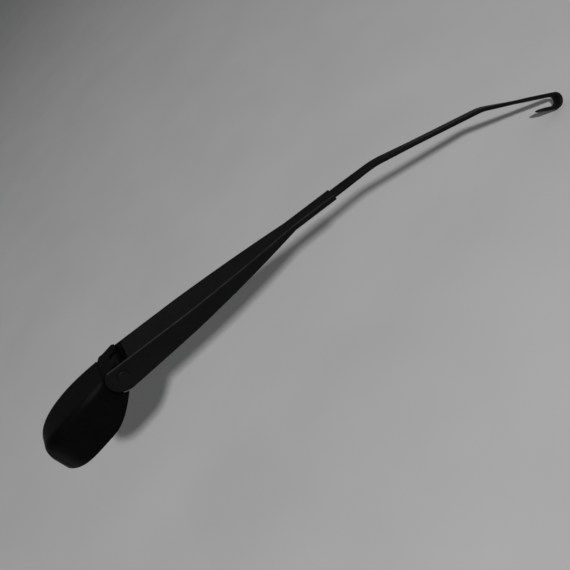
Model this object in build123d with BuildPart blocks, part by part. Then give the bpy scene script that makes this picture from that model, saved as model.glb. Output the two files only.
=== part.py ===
from build123d import *
from math import cos, radians, sin
import os

os.makedirs("parts", exist_ok=True)

# Frame: origin on the spindle axis at the head's foot, +Z up the spindle, +X towards the arm. Millimetres.

# Hinge between head and arm, and how far the arm hangs below the head at its stop
hinge_x = 40.0
hinge_z = 24.0
fold_deg = 12.0

# Pivot head
boss_r = 12.5
boss_h = 18.0
seat_r = 9.5
seat_depth = 1.0
spindle_mouth_r = 5.6
spindle_mouth_len = 3.0
taper_mouth_r = 5.3
taper_end_r = 4.5
taper_end_z = 11.0
spindle_bore_r = 4.25
foot_chamfer = 0.8
knuckle_half_w = 10.1
knuckle_r = 9.9
web_foot = 3.5
web_start = 13.0
web_end_low = (33.0, 14.5)
web_end_top = (33.0, 30.9)
pocket_x = 22.5
pocket_len = 12.0
pocket_w = 11.0
pocket_r = 2.0
pocket_top = 19.0
lug_r = 4.6
prong_gap_half = 3.2
prong_reach = 22.0
prong_depth = 4.4
prong_neck = 3.0
prong_root = 2.0
prong_step = 0.8
prong_slope = 1.8
prong_tip_h = 2.6
prong_heel = 5.0
prong_sag = 1.0
stop_gap = 0.25

# Hinge pin, bushes and the pins that hold the spring
hinge_pin_r = 3.0
rivet_head_r = 5.0
rivet_head_h = 1.3
rivet_edge_r = 0.8
bush_wall = 1.45
bush_step = 0.2
running_gap = 0.05
seat_gap = 0.02
anchor_dx = 3.0
anchor_dz = -7.0
anchor_pin_r = 1.75
anchor_pin_recess = 0.3
spring_pin_r = 1.5
spring_pin_x = 110.0
spring_pin_z = 4.4
spring_pin_proud = 0.3

# Pressed channel and ferrule, measured from the hinge along the arm
sheet = 1.2
channel_w = 26.7
roof_z = 10.5
roof_start = 11.7
roof_edge_r = 1.7
ear_r = 14.2
ear_low = 13.2
ear_top_x = -6.5
ear_shoulder = (-11.3, 7.6)
ear_cheek = (-9.7, -9.7)
belly_x = 90.0
belly_z = -4.4
taper_start = 64.0
taper_mid = 121.0
taper_mid_half = 10.2
taper_bow = 1.5
ferrule_start = 166.0
ferrule_len = 41.8
ferrule_edge_r = 1.0
seam_w = 0.8

# Flat rod
strip_w = 9.0
strip_t = 3.0
strip_edge_r = 0.5
strip_gap = 0.05
tail_x = 126.0
first_twist_start = 218.0
first_twist_len = 21.0
first_twist_deg = -6.0
first_bend_x = 248.6
first_bend_r = 75.0
first_bend_deg = 11.3
middle_len = 101.6
middle_twist_lead = 2.0
middle_twist_len = 26.0
middle_twist_deg = -7.0
second_bend_r = 40.0
second_bend_deg = 13.5
end_len = 75.4
second_twist_lead = 4.0
second_twist_len = 34.0
second_twist_deg = -12.0
hook_mean_r = 5.4
hook_leg = 11.5
hook_tip_len = 4.2
hook_tip_w = 7.4
hook_tip_t = 1.3

# Spring and its link
link_t = 3.0
link_eye_r = 3.4
link_len = 30.0
link_h = 4.6
link_hole_r = 1.7
link_slot_half = 2.2
link_slot_back = -1.5
link_slot_foot = (0.4, -5.4)
link_slot_top = (9.6, 8.6)
link_eye_gap = 0.5
coil_r = 3.6
wire_r = 0.9
coil_start = 39.0
coil_pitch = 2.7
coil_turns = 20.25
loop_tail = 2.0
loop_gap = 0.15
knee_swell = 1.02

# Plastic cap
cap_wall = 2.0
cap_rim = 0.6
cap_hollow_drop = 1.0
cap_inner_edge_r = 0.6
cap_cut_drop = 0.1
cap_cut_x = 4.0
cap_cut_mid = (20.5, 4.6)
cap_cut_end = (33.5, 12.2)
cap_rear_gap = 0.6
cap_ear_in = 10.4
cap_ear_out = 11.8
cap_ear_r = 9.8
cap_ear_gap = 0.1
cap_ear_len = 19.0
cap_ear_h = 12.0
cap_ear_z = 2.0
cap_ear_foot_len = 4.0
cap_ear_foot_w = 2.0
tongue_gap = 0.4
tongue_top = 11.9
tongue_crown = (-3.0, 7.3)
tongue_end = (9.0, 10.7)
tongue_root = (-10.5, 10.4)
tongue_foot_top = (-16.0, 10.0)
tongue_foot_low = (-16.0, 8.2)
tongue_back_deg = 44.0
tongue_front_deg = 133.0
tongue_edge_r = 0.9
tongue_slot_x = 2.2
tongue_slot_len = 12.0
# Each station: x, half width at the rim, half width at the top, top height, edge radius
cap_stations = (
    (48.0, 11.6, 11.4, 33.0, 2.0),
    (34.0, 14.2, 13.3, 34.3, 2.0),
    (17.0, 18.9, 15.4, 35.6, 2.6),
    (-2.0, 22.8, 16.9, 36.2, 4.2),
    (-18.5, 23.0, 17.1, 35.5, 6.5),
    (-31.0, 20.6, 15.1, 33.3, 7.5),
    (-40.0, 15.0, 11.0, 28.4, 6.3),
    (-45.6, 9.0, 6.5, 18.8, 4.0),
    (-48.6, 3.2, 2.4, 6.5, 1.5),
)

# Underside of the cap's tongue, struck from the hinge clear of the knuckle
tongue_r = knuckle_r + tongue_gap
tongue_back = (tongue_r * cos(radians(tongue_back_deg)), tongue_r * sin(radians(tongue_back_deg)))
tongue_front = (tongue_r * cos(radians(tongue_front_deg)), tongue_r * sin(radians(tongue_front_deg)))

# How far cutting shapes run past the object
cut_reach = hinge_x + channel_w

# Directions of the arm at its stop
fold = radians(fold_deg)
arm_x = Vector(cos(fold), 0, -sin(fold))
arm_z = Vector(sin(fold), 0, cos(fold))
hinge = Vector(hinge_x, 0, hinge_z)
channel_half = channel_w / 2
slot_half_w = strip_w / 2 + strip_gap
ferrule_half = slot_half_w + sheet
ferrule_floor = roof_z - 2 * sheet - strip_t - 2 * strip_gap
ferrule_end = ferrule_start + ferrule_len
strip_z = roof_z - sheet - strip_gap - strip_t / 2
ear_top = (ear_top_x, roof_z)
prong_top = roof_z - sheet - stop_gap
prong_foot = roof_start + prong_step


def on_arm(x, z):
    return hinge + arm_x * x + arm_z * z


def across(point):
    return Plane(origin=point, x_dir=(1, 0, 0), z_dir=(0, -1, 0))


def section_at(x):
    return Plane(origin=(x, 0, 0), x_dir=(0, 1, 0), z_dir=(1, 0, 0))


arm_side = Plane(origin=hinge, x_dir=arm_x, z_dir=(0, -1, 0))
arm_plan = Plane(origin=hinge, x_dir=arm_x, z_dir=arm_z)
hinge_cross = across(hinge)

# Line of the spring, from the anchor pin to the spring pin
anchor = hinge + Vector(anchor_dx, 0, anchor_dz)
spring_pin_at = on_arm(spring_pin_x, spring_pin_z)
spring_run = spring_pin_at - anchor
spring_len = spring_run.length
spring_x = spring_run.normalized()
spring_side = Plane(origin=anchor, x_dir=spring_x, z_dir=(0, -1, 0))


# Plan outline of the channel, with both sides drawn in by the same amount
def channel_plan(inset, x_first, x_last):
    for side in (-1, 1):
        wide = side * (channel_half - inset)
        middle = side * (taper_mid_half - inset)
        narrow = side * (ferrule_half - inset)
        Line((x_first, wide), (taper_start, wide))
        ThreePointArc((taper_start, wide), (taper_mid, middle), (ferrule_start, narrow))
        Line((ferrule_start, narrow), (x_last, narrow))
    Line((x_first, -channel_half + inset), (x_first, channel_half - inset))
    Line((x_last, -ferrule_half + inset), (x_last, ferrule_half - inset))


# Space inside the channel: open below, and open above at the ears
with BuildPart() as channel_hollow:
    with BuildSketch(arm_side):
        with BuildLine():
            Polyline((-cut_reach, -cut_reach), (ferrule_start, -cut_reach), (ferrule_start, roof_z - sheet),
                     (roof_start, roof_z - sheet), (roof_start, cut_reach), (-cut_reach, cut_reach),
                     close=True)
        make_face()
    extrude(amount=channel_half, both=True)
    with BuildSketch(arm_plan):
        with BuildLine():
            channel_plan(sheet, -cut_reach, ferrule_end)
        make_face()
    extrude(amount=cut_reach, both=True, mode=Mode.INTERSECT)

# Pressed channel that tapers and closes into the ferrule
with BuildPart() as arm_channel:
    with BuildSketch(arm_side):
        with BuildLine():
            Line((ferrule_end, roof_z), ear_top)
            ThreePointArc(ear_top, ear_shoulder, (-ear_r, 0))
            ThreePointArc((-ear_r, 0), ear_cheek, (0, -ear_low))
            ThreePointArc((0, -ear_low), (belly_x, belly_z), (ferrule_start, ferrule_floor))
            Line((ferrule_start, ferrule_floor), (ferrule_end, ferrule_floor))
            Line((ferrule_end, ferrule_floor), (ferrule_end, roof_z))
        make_face()
    extrude(amount=channel_half, both=True)
    with BuildSketch(arm_plan):
        with BuildLine():
            channel_plan(0, -cut_reach, ferrule_end)
        make_face()
    extrude(amount=cut_reach, both=True, mode=Mode.INTERSECT)
    roof = arm_channel.faces().sort_by(Axis(hinge, arm_z))[-1]
    fillet(roof.edges().filter_by(lambda e: abs(e.center().Y) > sheet), radius=roof_edge_r)
    ferrule_foot = arm_channel.faces().filter_by(Axis(hinge, arm_z)).sort_by(Axis(hinge, arm_z))[0]
    fillet(ferrule_foot.edges().filter_by(Axis(hinge, arm_x)), radius=ferrule_edge_r)
    add(channel_hollow.part, mode=Mode.SUBTRACT)
    # Socket for the strip, and the seam where the ferrule's two flaps meet below it
    with BuildSketch(arm_side):
        with Locations(((ferrule_start + ferrule_end) / 2, strip_z)):
            Rectangle(ferrule_len + 2 * sheet, strip_t + 2 * strip_gap)
    extrude(amount=slot_half_w, both=True, mode=Mode.SUBTRACT)
    with BuildSketch(arm_side):
        with Locations(((ferrule_start + ferrule_end) / 2, ferrule_floor)):
            Rectangle(ferrule_len + 2 * sheet, 2 * (sheet + strip_gap))
    extrude(amount=seam_w / 2, both=True, mode=Mode.SUBTRACT)
    with BuildSketch(hinge_cross):
        Circle(hinge_pin_r + seat_gap)
    extrude(amount=cut_reach, both=True, mode=Mode.SUBTRACT)
    with BuildSketch(across(spring_pin_at)):
        Circle(spring_pin_r + seat_gap)
    extrude(amount=cut_reach, both=True, mode=Mode.SUBTRACT)

# Pivot head: web and round knuckle from the side, then the boss, prongs and bores
with BuildPart() as pivot_head:
    with BuildSketch(Plane.XZ):
        with BuildLine():
            Polyline((0, web_foot), (web_start, web_foot), web_end_low, (hinge_x, hinge_z - knuckle_r),
                     (hinge_x, hinge_z), web_end_top, (web_start, boss_h), (0, boss_h), close=True)
        make_face()
        with Locations((hinge_x, hinge_z)):
            Circle(knuckle_r)
        with Locations((hinge_x + anchor_dx, hinge_z + anchor_dz)):
            Circle(lug_r)
    extrude(amount=knuckle_half_w, both=True)
    with BuildSketch(Plane.XY):
        Circle(boss_r)
    extrude(amount=boss_h)
    chamfer(pivot_head.faces().sort_by(Axis.Z)[0].edges(), length=foot_chamfer)
    # Prongs that meet the channel's roof and stop the arm
    for first in (prong_gap_half, -knuckle_half_w):
        with BuildSketch(arm_side.offset(first)):
            with BuildLine():
                Polyline((prong_root, prong_neck), (prong_foot, prong_neck),
                         (prong_foot + prong_slope, prong_top), (prong_reach, prong_top),
                         (prong_reach, prong_top - prong_tip_h),
                         (prong_reach - prong_heel, prong_neck - prong_sag),
                         (prong_root, prong_neck - prong_depth), close=True)
            make_face()
        extrude(amount=knuckle_half_w - prong_gap_half)
    # Slot through the knuckle where the spring link swings
    with BuildSketch(hinge_cross):
        with BuildLine():
            Polyline((link_slot_back, -cut_reach), (link_slot_back, link_slot_foot[1]), link_slot_foot,
                     link_slot_top, (cut_reach, link_slot_top[1]), (cut_reach, -cut_reach), close=True)
        make_face()
        with Locations((anchor_dx, anchor_dz)):
            Circle(link_eye_r + link_eye_gap)
    extrude(amount=link_slot_half, both=True, mode=Mode.SUBTRACT)
    # Pocket under the web
    with BuildSketch(Plane.XY):
        with Locations((pocket_x, 0)):
            RectangleRounded(pocket_len, pocket_w, pocket_r)
    extrude(amount=pocket_top, mode=Mode.SUBTRACT)
    # Tapered spindle bore, clearance for the spindle's thread, and the nut's seat
    with BuildSketch(Plane.XZ):
        with BuildLine():
            Polyline((0, -seat_depth), (spindle_mouth_r, -seat_depth), (spindle_mouth_r, spindle_mouth_len),
                     (taper_mouth_r, spindle_mouth_len), (taper_end_r, taper_end_z),
                     (spindle_bore_r, taper_end_z), (spindle_bore_r, boss_h - seat_depth),
                     (seat_r, boss_h - seat_depth), (seat_r, boss_h + seat_depth),
                     (0, boss_h + seat_depth), close=True)
        make_face()
    revolve(axis=Axis.Z, mode=Mode.SUBTRACT)
    with BuildSketch(hinge_cross):
        Circle(hinge_pin_r + running_gap + bush_wall)
    extrude(amount=cut_reach, both=True, mode=Mode.SUBTRACT)
    with BuildSketch(across(anchor)):
        Circle(anchor_pin_r + seat_gap)
    extrude(amount=cut_reach, both=True, mode=Mode.SUBTRACT)

# Hinge rivet with a domed head on each side
with BuildPart() as hinge_pin:
    with BuildSketch(hinge_cross):
        Circle(hinge_pin_r)
    extrude(amount=channel_half + rivet_head_h / 2, both=True)
    for start in (channel_half + seat_gap, -channel_half - seat_gap - rivet_head_h):
        with BuildSketch(hinge_cross.offset(start)):
            Circle(rivet_head_r)
        extrude(amount=rivet_head_h)
    ends = hinge_pin.faces().sort_by(Axis.Y)
    fillet(ends[0].edges() + ends[-1].edges(), radius=rivet_edge_r)

# Two plain bushes, one in each cheek of the knuckle
with BuildPart() as hinge_bushes:
    for start in (link_slot_half + bush_step, -knuckle_half_w):
        with BuildSketch(hinge_cross.offset(start)):
            Circle(hinge_pin_r + running_gap + bush_wall - seat_gap)
            Circle(hinge_pin_r + running_gap, mode=Mode.SUBTRACT)
        extrude(amount=knuckle_half_w - link_slot_half - bush_step)

# Pin across the knuckle for the link
with BuildPart() as anchor_pin:
    with BuildSketch(across(anchor)):
        Circle(anchor_pin_r)
    extrude(amount=knuckle_half_w - anchor_pin_recess, both=True)

# Pin across the channel for the spring's far loop
pin_share = (spring_pin_x - taper_start) / (taper_mid - taper_start)
pin_draw_in = (channel_half - taper_mid_half) * pin_share ** taper_bow
spring_pin_half = channel_half - pin_draw_in + spring_pin_proud
with BuildPart() as spring_pin:
    with BuildSketch(across(spring_pin_at)):
        Circle(spring_pin_r)
    extrude(amount=spring_pin_half, both=True)

# Flat link from the anchor pin to the spring
with BuildPart() as spring_link:
    with BuildSketch(spring_side):
        Circle(link_eye_r)
        with Locations((link_len / 2, 0)):
            Rectangle(link_len, link_h)
        with Locations((link_len, 0)):
            Circle(link_eye_r)
        Circle(anchor_pin_r + running_gap, mode=Mode.SUBTRACT)
        with Locations((link_len, 0)):
            Circle(link_hole_r, mode=Mode.SUBTRACT)
    extrude(amount=link_t / 2, both=True)

# Coil spring: helix, a flat loop through the link and an upright loop round the spring pin
coil_len = coil_pitch * coil_turns
coil_end = coil_start + coil_len
front_loop = link_len + coil_r
rear_loop = spring_len + spring_pin_r + loop_gap - (coil_r - wire_r)
coil_base = Plane(origin=anchor + spring_x * coil_start, x_dir=(0, 1, 0), z_dir=spring_x)
spring_flat = Plane(origin=anchor, x_dir=spring_x, z_dir=spring_side.y_dir)
with BuildPart() as tension_spring:
    coil = coil_base * Helix(pitch=coil_pitch, height=coil_len, radius=coil_r, mode=Mode.PRIVATE)
    with BuildSketch(Plane(origin=coil @ 0, z_dir=coil % 0)):
        Circle(wire_r)
    sweep(path=coil, is_frenet=True)
    for plane, start, middle, tip in ((spring_flat, coil_start, front_loop, -1),
                                      (spring_side, coil_end, rear_loop, 1)):
        with BuildLine(plane) as loop:
            Line((start, coil_r), (middle, coil_r))
            ThreePointArc((middle, coil_r), (middle + tip * coil_r, 0), (middle, -coil_r))
            Line((middle, -coil_r), (middle - tip * loop_tail, -coil_r))
        leg = loop.wire()
        with Locations(leg @ 0):
            Sphere(wire_r * knee_swell)
        with BuildSketch(Plane(origin=leg @ 0, z_dir=leg % 0)):
            Circle(wire_r)
        sweep(path=leg)


# A frame on the strip: its normal runs along the strip and its X across the strip's width
def bent(frame, radius, angle):
    a = radians(angle)
    centre = frame.origin - frame.y_dir * radius
    up = frame.y_dir * cos(a) + frame.z_dir * sin(a)
    ahead = frame.z_dir * cos(a) - frame.y_dir * sin(a)
    return Plane(origin=centre + up * radius, x_dir=frame.x_dir, z_dir=ahead)


def twisted(frame, angle):
    a = radians(angle)
    return Plane(origin=frame.origin, x_dir=frame.x_dir * cos(a) + frame.y_dir * sin(a), z_dir=frame.z_dir)


def bend_axis(frame, radius):
    return Axis(frame.origin - frame.y_dir * radius, frame.x_dir)


first_tangent = first_bend_r * sin(radians(first_bend_deg / 2)) / cos(radians(first_bend_deg / 2))
second_tangent = second_bend_r * sin(radians(second_bend_deg / 2)) / cos(radians(second_bend_deg / 2))
hook_reach = hook_mean_r + strip_t / 2
tail = Plane(origin=on_arm(tail_x, strip_z), x_dir=(0, 1, 0), z_dir=arm_x)
twist_from = tail.offset(first_twist_start - tail_x)
twist_to = twisted(twist_from.offset(first_twist_len), first_twist_deg)
bend_from = twist_to.offset(first_bend_x - first_tangent - first_twist_start - first_twist_len)
bend_to = bent(bend_from, first_bend_r, first_bend_deg)
wind_from = bend_to.offset(middle_twist_lead)
wind_to = twisted(wind_from.offset(middle_twist_len), middle_twist_deg)
middle_run = middle_len - first_tangent - second_tangent
crank_from = wind_to.offset(middle_run - middle_twist_lead - middle_twist_len)
crank_to = bent(crank_from, second_bend_r, second_bend_deg)
turn_from = crank_to.offset(second_twist_lead)
turn_to = twisted(turn_from.offset(second_twist_len), second_twist_deg)
hook_from = turn_to.offset(end_len - second_tangent - second_twist_lead - second_twist_len - hook_reach)
hook_to = bent(hook_from, hook_mean_r, 180)
leg_to = hook_to.offset(hook_leg)

# Flat rod: straight runs, three twists, two bends and the U-hook
with BuildPart() as arm_rod:
    for start, stop in ((tail, twist_from), (twist_to, bend_from), (bend_to, wind_from),
                        (wind_to, crank_from), (crank_to, turn_from), (turn_to, hook_from),
                        (hook_to, leg_to)):
        with BuildSketch(start):
            RectangleRounded(strip_w, strip_t, strip_edge_r)
        extrude(amount=(stop.origin - start.origin).length)
    for start, stop in ((twist_from, twist_to), (wind_from, wind_to), (turn_from, turn_to)):
        with BuildSketch(start, stop):
            RectangleRounded(strip_w, strip_t, strip_edge_r)
        loft()
    for start, radius, angle in ((bend_from, first_bend_r, first_bend_deg),
                                 (crank_from, second_bend_r, second_bend_deg),
                                 (hook_from, hook_mean_r, 180)):
        with BuildSketch(start):
            RectangleRounded(strip_w, strip_t, strip_edge_r)
        revolve(axis=bend_axis(start, radius), revolution_arc=angle)
    with BuildSketch(leg_to):
        RectangleRounded(strip_w, strip_t, strip_edge_r)
    with BuildSketch(leg_to.offset(hook_tip_len)):
        RectangleRounded(hook_tip_w, hook_tip_t, strip_edge_r)
    loft()


# Outline of the cap at one station, drawn in by an inset
def cap_outline(station, inset, rim):
    half_rim, half_top, top = station[1:4]
    Polyline((-half_rim + inset, rim), (half_rim - inset, rim), (half_top - inset, top - inset),
             (inset - half_top, top - inset), close=True)


# Space inside the cap, which ends two stations short of its nose
with BuildPart() as cap_hollow:
    for station in cap_stations[:-2]:
        inner_edge_r = max(station[4] - cap_wall, cap_inner_edge_r)
        with BuildSketch(section_at(station[0])) as cap_inner:
            with BuildLine():
                cap_outline(station, cap_wall, cap_rim - cap_hollow_drop)
            make_face()
            fillet(cap_inner.vertices().group_by(Axis.Y)[-1], radius=inner_edge_r)
    loft()

# Tongue of the cap, which lies over the knuckle between the channel's ears
with BuildPart() as cap_tongue:
    with BuildSketch(hinge_cross):
        with BuildLine():
            Polyline(tongue_front, tongue_foot_low, tongue_foot_top, tongue_root,
                     (tongue_crown[0], tongue_top), (tongue_crown[1], tongue_top), tongue_end, tongue_back)
            ThreePointArc(tongue_back, (0, tongue_r), tongue_front)
        make_face()
    extrude(amount=cap_ear_out, both=True)
    flanks = cap_tongue.faces().sort_by(Axis.Y)
    rims = flanks[0].edges() + flanks[-1].edges()
    above_root = hinge_z + tongue_root[1] - running_gap
    fillet(rims.filter_by(lambda e: e.bounding_box().min.Z > above_root), radius=tongue_edge_r)
    # Slot in the tongue's end for the link when cap and arm are both up
    with BuildSketch(Plane.XY.offset(hinge_z)):
        with Locations((hinge_x + tongue_slot_x + tongue_slot_len / 2, 0)):
            Rectangle(tongue_slot_len, 2 * link_slot_half)
    extrude(amount=cut_reach, mode=Mode.SUBTRACT)

# Moulded cap: tapered shell with its rear edge struck from the hinge, the tongue and two ears on the pin
with BuildPart() as head_cap:
    for station in cap_stations:
        with BuildSketch(section_at(station[0])) as cap_outer:
            with BuildLine():
                cap_outline(station, 0, cap_rim)
            make_face()
            fillet(cap_outer.vertices().group_by(Axis.Y)[-1], radius=station[4])
    loft()
    add(cap_hollow.part, mode=Mode.SUBTRACT)
    with BuildSketch(hinge_cross):
        Circle(ear_r + cap_rear_gap)
    extrude(amount=cut_reach, both=True, mode=Mode.SUBTRACT)
    with BuildSketch(Plane.XZ):
        with BuildLine():
            ThreePointArc((cap_cut_x, cap_rim - cap_cut_drop), cap_cut_mid, cap_cut_end)
            Polyline(cap_cut_end, (cap_cut_end[0], cut_reach), (cut_reach, cut_reach),
                     (cut_reach, cap_rim - cap_cut_drop), (cap_cut_x, cap_rim - cap_cut_drop))
        make_face()
    extrude(amount=cut_reach, both=True, mode=Mode.SUBTRACT)
    add(cap_tongue.part)
    for first in (cap_ear_in, -cap_ear_out):
        with BuildSketch(hinge_cross.offset(first)):
            Circle(cap_ear_r)
            with Locations((-cap_ear_len / 2, cap_ear_z)):
                Rectangle(cap_ear_len, cap_ear_h)
            Circle(hinge_pin_r + cap_ear_gap, mode=Mode.SUBTRACT)
        extrude(amount=cap_ear_out - cap_ear_in)
    for first in (cap_ear_in, -cap_ear_out - cap_ear_foot_w):
        with BuildSketch(hinge_cross.offset(first)):
            with Locations((cap_ear_foot_len / 2 - cap_ear_len, cap_ear_z)):
                Rectangle(cap_ear_foot_len, cap_ear_h)
        extrude(amount=cap_ear_out - cap_ear_in + cap_ear_foot_w)

for piece, name in ((pivot_head, "pivot_head"), (head_cap, "head_cap"), (arm_channel, "arm_channel"),
                    (arm_rod, "arm_rod"), (hinge_pin, "hinge_pin"), (hinge_bushes, "hinge_bushes"),
                    (anchor_pin, "anchor_pin"), (spring_link, "spring_link"),
                    (tension_spring, "tension_spring"), (spring_pin, "spring_pin")):
    piece.part.label = name
    export_step(piece.part, f"parts/{name}.step")
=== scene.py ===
import bpy
from mathutils import Matrix, Vector


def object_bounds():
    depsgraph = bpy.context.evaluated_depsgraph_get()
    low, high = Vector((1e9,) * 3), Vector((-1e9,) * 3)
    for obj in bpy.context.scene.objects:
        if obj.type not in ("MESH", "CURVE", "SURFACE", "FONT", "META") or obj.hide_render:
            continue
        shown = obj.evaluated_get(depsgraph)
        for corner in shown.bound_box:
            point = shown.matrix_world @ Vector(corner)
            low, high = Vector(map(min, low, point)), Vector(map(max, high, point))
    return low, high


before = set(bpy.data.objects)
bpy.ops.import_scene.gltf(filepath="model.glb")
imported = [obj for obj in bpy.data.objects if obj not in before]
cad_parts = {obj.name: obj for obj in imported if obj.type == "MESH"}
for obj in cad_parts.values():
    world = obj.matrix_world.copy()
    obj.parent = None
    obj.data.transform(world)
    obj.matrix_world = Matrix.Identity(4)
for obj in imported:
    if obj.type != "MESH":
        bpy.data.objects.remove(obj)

cad_low, cad_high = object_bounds()


# Pivot head: a zinc die casting with the spindle boss, the hinge knuckle and two stop prongs.
# It is dipped in black satin paint before the arm is riveted on, and the paint lies over a fine
# cast grain.
def new_finish(name):
    finish = bpy.data.materials.new(name)
    finish.use_nodes = True
    tree = finish.node_tree
    place = tree.nodes.new("ShaderNodeTexCoord").outputs["Object"]
    return finish, tree, tree.nodes["Principled BSDF"], place


def noise(tree, place, scale, detail, roughness=0.5):
    texture = tree.nodes.new("ShaderNodeTexNoise")
    texture.inputs["Scale"].default_value = scale
    texture.inputs["Detail"].default_value = detail
    texture.inputs["Roughness"].default_value = roughness
    tree.links.new(place, texture.inputs["Vector"])
    return texture.outputs["Fac"]


def two_tone(tree, amount, low_at, low, high_at, high):
    ramp = tree.nodes.new("ShaderNodeValToRGB")
    low_end, high_end = ramp.color_ramp.elements
    low_end.position, low_end.color = low_at, (*low, 1.0)
    high_end.position, high_end.color = high_at, (*high, 1.0)
    tree.links.new(amount, ramp.inputs["Fac"])
    return ramp.outputs["Color"]


def vary_gloss(tree, shader, amount, rough_low, rough_high, low_at=0.0, high_at=1.0):
    gloss = tree.nodes.new("ShaderNodeMapRange")
    gloss.inputs["From Min"].default_value = low_at
    gloss.inputs["From Max"].default_value = high_at
    gloss.inputs["To Min"].default_value = rough_low
    gloss.inputs["To Max"].default_value = rough_high
    tree.links.new(amount, gloss.inputs["Value"])
    tree.links.new(gloss.outputs["Result"], shader.inputs["Roughness"])


def raise_skin(tree, shader, height, strength, depth):
    skin = tree.nodes.new("ShaderNodeBump")
    skin.inputs["Strength"].default_value = strength
    skin.inputs["Distance"].default_value = depth
    tree.links.new(height, skin.inputs["Height"])
    tree.links.new(skin.outputs["Normal"], shader.inputs["Normal"])
    return skin


def satin_black(name, dark, dusty, bend, gleam, rough_low, rough_high,
                peel_scale, peel_height, edge_radius):
    finish, tree, shader, place = new_finish(name)

    # How strongly the skin bends light, and how much of its gleam is left
    shader.inputs["IOR"].default_value = bend
    shader.inputs["Specular IOR Level"].default_value = gleam

    # A thin film of dust gathers in cloudy patches
    cloud = noise(tree, place, scale=46.0, detail=7.0, roughness=0.62)
    film = two_tone(tree, cloud, low_at=0.38, low=dark, high_at=0.78, high=dusty)

    # Single pale specks of grit lie on it, thin enough to let the black through
    grit = tree.nodes.new("ShaderNodeTexVoronoi")
    grit.inputs["Scale"].default_value = 420.0
    tree.links.new(place, grit.inputs["Vector"])
    distance, cover, clear = grit.outputs["Distance"], (0.35, 0.35, 0.35), (0.0, 0.0, 0.0)
    speck = two_tone(tree, distance, low_at=0.05, low=cover, high_at=0.10, high=clear)
    coat = tree.nodes.new("ShaderNodeMix")
    coat.data_type = "RGBA"
    coat.inputs["B"].default_value = (0.030, 0.029, 0.027, 1.0)
    tree.links.new(speck, coat.inputs["Factor"])
    tree.links.new(film, coat.inputs["A"])
    tree.links.new(coat.outputs["Result"], shader.inputs["Base Color"])

    # Handling leaves some places smoother and others duller
    rub = noise(tree, place, scale=150.0, detail=5.0)
    vary_gloss(tree, shader, rub, rough_low, rough_high, low_at=0.3, high_at=0.7)

    # Peel of the paint or grain of the mould, over edges that either has softened
    peel = noise(tree, place, scale=peel_scale, detail=3.0)
    skin = raise_skin(tree, shader, peel, strength=0.35, depth=peel_height)
    edge = tree.nodes.new("ShaderNodeBevel")
    edge.samples = 4
    edge.inputs["Radius"].default_value = edge_radius
    tree.links.new(edge.outputs["Normal"], skin.inputs["Normal"])
    return finish


def dress(node_name, finish):
    node = bpy.data.objects[node_name]
    node.data.materials.clear()
    node.data.materials.append(finish)


cast_paint = satin_black(
    "painted_casting_black",
    dark=(0.0014, 0.0014, 0.0016), dusty=(0.0028, 0.0028, 0.0030),
    bend=1.3, gleam=0.12, rough_low=0.44, rough_high=0.60,
    peel_scale=1500.0, peel_height=0.00010, edge_radius=0.0006)
dress("pivot_head", cast_paint)

# Hinge bushes: two plain nylon sleeves pressed into the knuckle's bore, one from each side.
# They are moulded in natural off-white nylon, faintly greyed by grease.
bush_nylon, nylon_tree, nylon_shader, nylon_place = new_finish("nylon_natural")
nylon_shader.inputs["Roughness"].default_value = 0.45
greased, clean = (0.34, 0.32, 0.27), (0.62, 0.60, 0.54)
grease = noise(nylon_tree, nylon_place, scale=320.0, detail=4.0)
nylon_tone = two_tone(nylon_tree, grease, low_at=0.35, low=greased, high_at=0.65, high=clean)
nylon_tree.links.new(nylon_tone, nylon_shader.inputs["Base Color"])
dress("hinge_bushes", bush_nylon)


# Anchor pin and spring link: a drawn steel pin pressed across the knuckle, and a blanked flat
# link that turns on it. Both are zinc plated, greyed and finely scratched.
def scratched_steel(name, bright, dull, rough_low, rough_high):
    finish, tree, shader, place = new_finish(name)
    shader.inputs["Metallic"].default_value = 1.0
    stain = noise(tree, place, scale=240.0, detail=6.0)
    tone = two_tone(tree, stain, low_at=0.36, low=dull, high_at=0.66, high=bright)
    tree.links.new(tone, shader.inputs["Base Color"])

    # Fine scratches, drawn out along the arm
    drawn = tree.nodes.new("ShaderNodeMapping")
    drawn.inputs["Scale"].default_value = (120.0, 2600.0, 2600.0)
    tree.links.new(place, drawn.inputs["Vector"])
    scratch = noise(tree, drawn.outputs["Vector"], scale=1.0, detail=4.0)
    vary_gloss(tree, shader, scratch, rough_low, rough_high)
    raise_skin(tree, shader, scratch, strength=0.25, depth=0.00004)
    return finish


zinc_plate = scratched_steel(
    "zinc_plate_grey",
    bright=(0.42, 0.42, 0.43), dull=(0.24, 0.24, 0.25), rough_low=0.28, rough_high=0.52)
dress("anchor_pin", zinc_plate)
dress("spring_link", zinc_plate)

# Tension spring: oil-hardened wire wound on a mandrel, with a loop bent at each end. It is left
# with its dark drawn skin under a film of grease.
spring_wire = scratched_steel(
    "spring_wire_dark",
    bright=(0.17, 0.17, 0.175), dull=(0.075, 0.074, 0.075), rough_low=0.30, rough_high=0.50)
dress("tension_spring", spring_wire)

# Channel and spring pin: one blank of thin steel sheet pressed to a U, tapering and closing at its
# end into the ferrule that is crimped on the rod, and the steel pin across it that holds the
# spring's far loop. Both have black satin paint with a smooth skin.
channel_paint = satin_black(
    "painted_steel_black",
    dark=(0.0014, 0.0014, 0.0015), dusty=(0.0028, 0.0027, 0.0025),
    bend=1.55, gleam=0.075, rough_low=0.46, rough_high=0.56,
    peel_scale=2200.0, peel_height=0.00006, edge_radius=0.0004)
dress("arm_channel", channel_paint)
dress("spring_pin", channel_paint)

# Hinge pin: a steel rivet through both ears of the channel and the bushes between them. It is
# closed when the arm is fitted to the head, then painted like the channel.
dress("hinge_pin", channel_paint)

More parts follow.
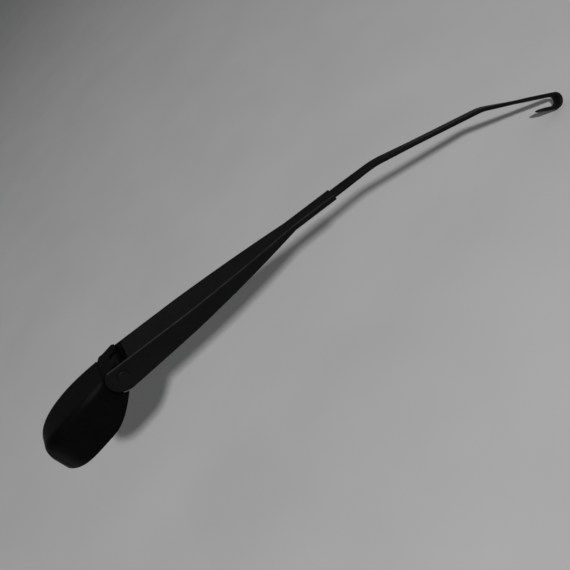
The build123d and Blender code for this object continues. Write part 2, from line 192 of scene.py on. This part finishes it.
# Rod: flat steel strip, crimped in the ferrule, twisted and bent cold and ending in the U-hook.
# It is painted black like the channel, a shade dustier.
rod_paint = satin_black(
    "painted_strip_black",
    dark=(0.0020, 0.0020, 0.0021), dusty=(0.0040, 0.0039, 0.0036),
    bend=1.38, gleam=0.10, rough_low=0.36, rough_high=0.50,
    peel_scale=2000.0, peel_height=0.00006, edge_radius=0.0004)
dress("arm_rod", rod_paint)

# Cap: injection-moulded black plastic with a fine spark-eroded grain, hinged on the rivet over
# the head. It is the darkest piece, with a soft gleam along its rounded edges.
cap_plastic = satin_black(
    "moulded_plastic_black",
    dark=(0.0005, 0.0005, 0.0006), dusty=(0.0011, 0.0011, 0.0010),
    bend=1.2, gleam=0.20, rough_low=0.36, rough_high=0.46,
    peel_scale=3600.0, peel_height=0.00004, edge_radius=0.0060)
dress("head_cap", cap_plastic)

# Floor: a plain pale table top, level and just under the lowest point of the arm. It is matt and
# faintly mottled, and takes the arm's shadow.
floor_side, floor_drop = 12.0, 0.0005
middle = (cad_low + cad_high) / 2
floor_place = (middle.x, middle.y, cad_low.z - floor_drop)
bpy.ops.object.select_all(action="DESELECT")
bpy.ops.mesh.primitive_plane_add(size=floor_side, location=floor_place)
table_top = bpy.context.active_object
table_top.name = "table_top"
bpy.ops.object.transform_apply(location=True, rotation=True, scale=True)
table_grey, table_tree, table_shader, table_place = new_finish("table_grey")
table_shader.inputs["Roughness"].default_value = 0.8
table_shader.inputs["Specular IOR Level"].default_value = 0.1
greyer, paler = (0.335, 0.335, 0.330), (0.385, 0.385, 0.380)
mottle = noise(table_tree, table_place, scale=9.0, detail=5.0)
table_tone = two_tone(table_tree, mottle, low_at=0.0, low=greyer, high_at=1.0, high=paler)
table_tree.links.new(table_tone, table_shader.inputs["Base Color"])
table_top.data.materials.append(table_grey)


# Light: one small soft panel high in front, on the camera's side, a weak broad fill from behind
# and above, and an even dim room. Both lamps face the middle of the arm.
def soft_light(name, side, watts, bearing, distance):
    lamp = bpy.data.lights.new(name, "AREA")
    lamp.shape = "SQUARE"
    lamp.size = side
    lamp.energy = watts
    holder = bpy.data.objects.new(name, lamp)
    bpy.context.scene.collection.objects.link(holder)
    facing = bearing.to_track_quat("Z", "Y").to_matrix().to_4x4()
    holder.matrix_world = Matrix.Translation(middle + bearing.normalized() * distance) @ facing


panel_bearing = Vector((0.0493, -0.7634, 0.6441))
fill_bearing = Vector((-0.05, 0.48, 0.875))
soft_light("soft_panel", side=0.18, watts=116.0, bearing=panel_bearing, distance=3.2)
soft_light("ceiling_fill", side=1.6, watts=4.0, bearing=fill_bearing, distance=1.87)
room = bpy.data.worlds.new("dim_room")
room.use_nodes = True
room_light = room.node_tree.nodes["Background"]
room_light.inputs["Color"].default_value = (0.80, 0.82, 0.85, 1.0)
room_light.inputs["Strength"].default_value = 0.20
bpy.context.scene.world = room

# Camera: beside and above the arm, turned so that the arm runs up to the right. Its place, turn
# and lens were fitted to the arm's outlines in the photograph.
eye_place = Vector((0.19004, -0.4466, 0.29605))
eye_right = Vector((0.6794, -0.4178, -0.6032)).normalized()
eye_upwards = Vector((0.7328, 0.4298, 0.5276))
eye_back = eye_right.cross(eye_upwards).normalized()
eye_up = eye_back.cross(eye_right)
eye_data = bpy.data.cameras.new("photo_eye")
eye_data.sensor_width = 36.0
eye_data.lens = 44.2
eye = bpy.data.objects.new("photo_eye", eye_data)
bpy.context.scene.collection.objects.link(eye)
eye_turn = Matrix((eye_right, eye_up, eye_back)).transposed().to_4x4()
eye.matrix_world = Matrix.Translation(eye_place) @ eye_turn
bpy.context.scene.camera = eye
bpy.context.scene.view_settings.view_transform = "Standard"
